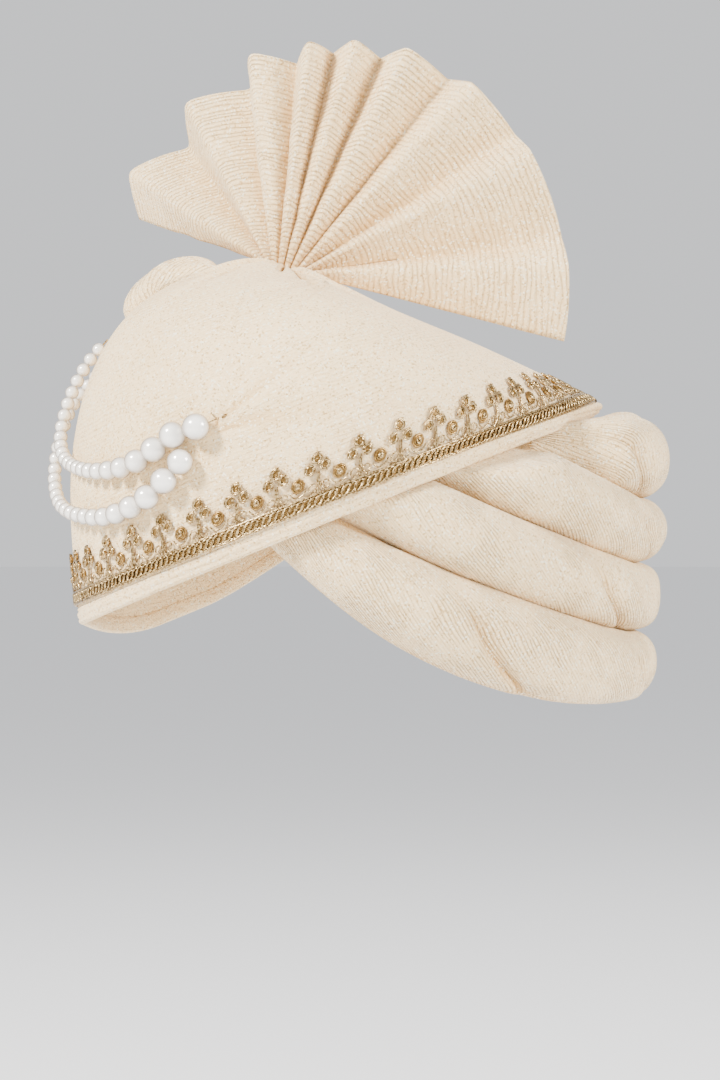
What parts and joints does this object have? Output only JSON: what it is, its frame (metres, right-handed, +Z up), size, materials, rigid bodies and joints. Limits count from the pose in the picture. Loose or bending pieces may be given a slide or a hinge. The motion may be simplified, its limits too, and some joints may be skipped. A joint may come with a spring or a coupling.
{
  "type": "tied turban pagri",
  "caption": "Ready-tied ivory crepe turban with a diagonal front wrap, padded twisted rolls, a pleated fan, gold lace trim and swagged pearl strings.",
  "frame": {"origin": "middle of the head opening, level with the brow, where the turban sits on a head", "axes": "-Y is the wearer's front, +X the wearer's left, +Z up out of the crown"},
  "size_m": [0.235, 0.2942, 0.2881],
  "materials": {
    "crepe": "ribbed crepe with fine gold sparkle",
    "gold_lace": "antique gold thread with sequins",
    "pearl": "glossy pearl"
  },
  "bodies": {
    "root": {"crown_wrap": "crepe", "roll_1": "crepe", "roll_2": "crepe", "roll_3": "crepe", "roll_4": "crepe", "side_roll": "crepe", "turra_fan": "crepe", "fan_gather": "crepe", "lace_trim": "gold_lace", "pearl_strand_upper": "pearl", "pearl_strand_lower": "pearl"}
  },
  "joints": []
}
